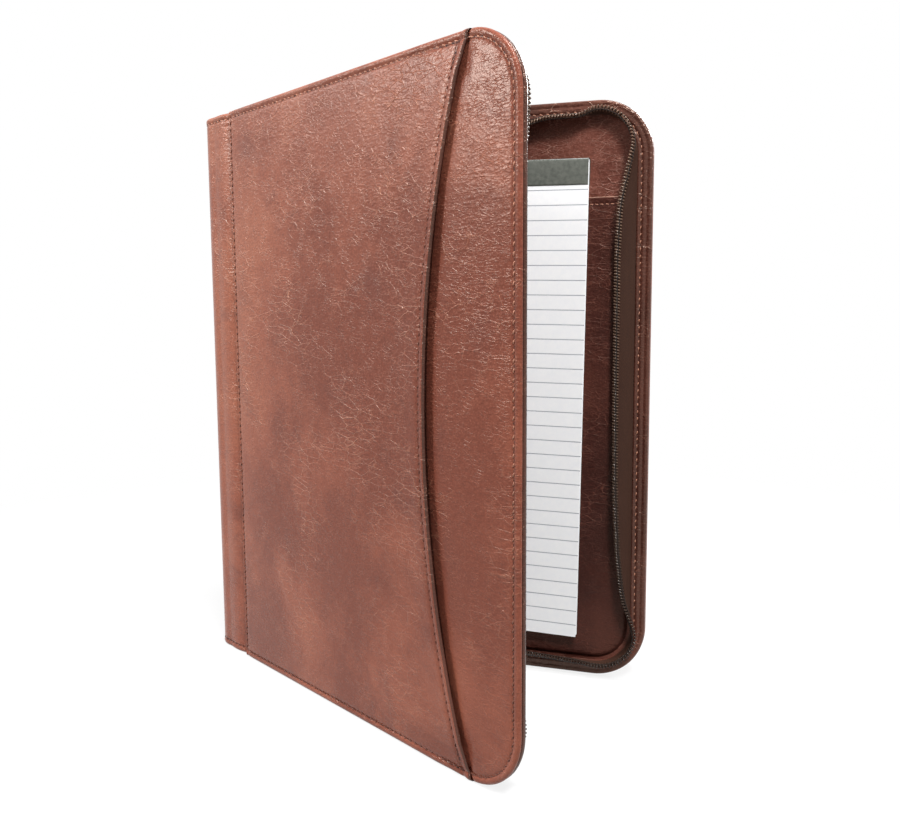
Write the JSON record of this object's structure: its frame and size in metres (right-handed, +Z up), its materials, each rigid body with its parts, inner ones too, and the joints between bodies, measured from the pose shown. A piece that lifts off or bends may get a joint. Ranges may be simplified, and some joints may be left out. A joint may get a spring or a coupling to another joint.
{
  "type": "zippered padfolio",
  "caption": "Zip-around leather padfolio standing part open, with a curved slip pocket on the front, a ruled writing pad in its pocket, and a folding soft spine.",
  "frame": {"origin": "middle of the back cover's bottom edge, on the floor, halfway through its turned edge", "axes": "+Z up, +X along the back cover from the spine to its free edge, -Y from the back cover towards the front cover"},
  "size_m": [0.2765, 0.1507, 0.336],
  "materials": {
    "cover_leather": "satin",
    "lining_leather": "matte",
    "padding": "matte",
    "board": "matte",
    "pad_card": "matte",
    "pad_paper": "matte",
    "pad_binding": "matte",
    "zip_tape": "matte",
    "elastic": "matte",
    "zip_coil": "satin",
    "zip_metal": "satin"
  },
  "bodies": {
    "back_cover": {"back_cover_skin": "cover_leather", "back_hinge_strip": "cover_leather", "back_cover_padding": "padding", "back_cover_board": "board", "back_lining": "lining_leather", "back_rim_facing": "cover_leather", "back_zip_tape": "zip_tape", "back_zip_coil": "zip_coil", "back_zip_stops": "zip_metal", "pad_pocket": "lining_leather"},
    "spine": {"spine_wrap": "cover_leather", "spine_stiffener": "padding", "spine_lining": "lining_leather", "pen_loop": "elastic"},
    "front_cover": {"front_cover_skin": "cover_leather", "front_hinge_strip": "cover_leather", "front_pocket": "cover_leather", "front_cover_padding": "padding", "front_cover_board": "board", "front_lining": "lining_leather", "front_rim_facing": "cover_leather", "front_zip_tape": "zip_tape", "front_zip_coil": "zip_coil", "front_zip_stops": "zip_metal", "document_pocket": "lining_leather", "card_pocket_lower": "lining_leather", "card_pocket_upper": "lining_leather"},
    "notepad": {"pad_backing": "pad_card", "pad_sheets": "pad_paper", "pad_binding": "pad_binding"},
    "slider": {"zip_slider": "zip_metal"},
    "pull": {"zip_pull": "zip_metal"}
  },
  "joints": [
    {"name": "back_fold", "type": "hinge", "parent": "back_cover", "child": "spine", "pos_m": [-0.129, 0.0013, 0.168], "axis": [0, 0, -1], "range_deg": [-14, 76]},
    {"name": "front_fold", "type": "hinge", "parent": "spine", "child": "front_cover", "pos_m": [-0.13604, -0.02694, 0.168], "axis": [0, 0, -1], "range_deg": [-14, 76]},
    {"name": "pad_lift", "type": "slide", "parent": "back_cover", "child": "notepad", "axis": [0, 0, 1], "range_m": [0, 0.019]},
    {"name": "slider_travel", "type": "slide", "parent": "back_cover", "child": "slider", "axis": [1, 0, 0], "range_m": [0, 0.18]},
    {"name": "pull_swing", "type": "hinge", "parent": "slider", "child": "pull", "pos_m": [-0.101, -0.01325, 0.3305], "axis": [0, -1, 0], "range_deg": [0, 180]}
  ]
}
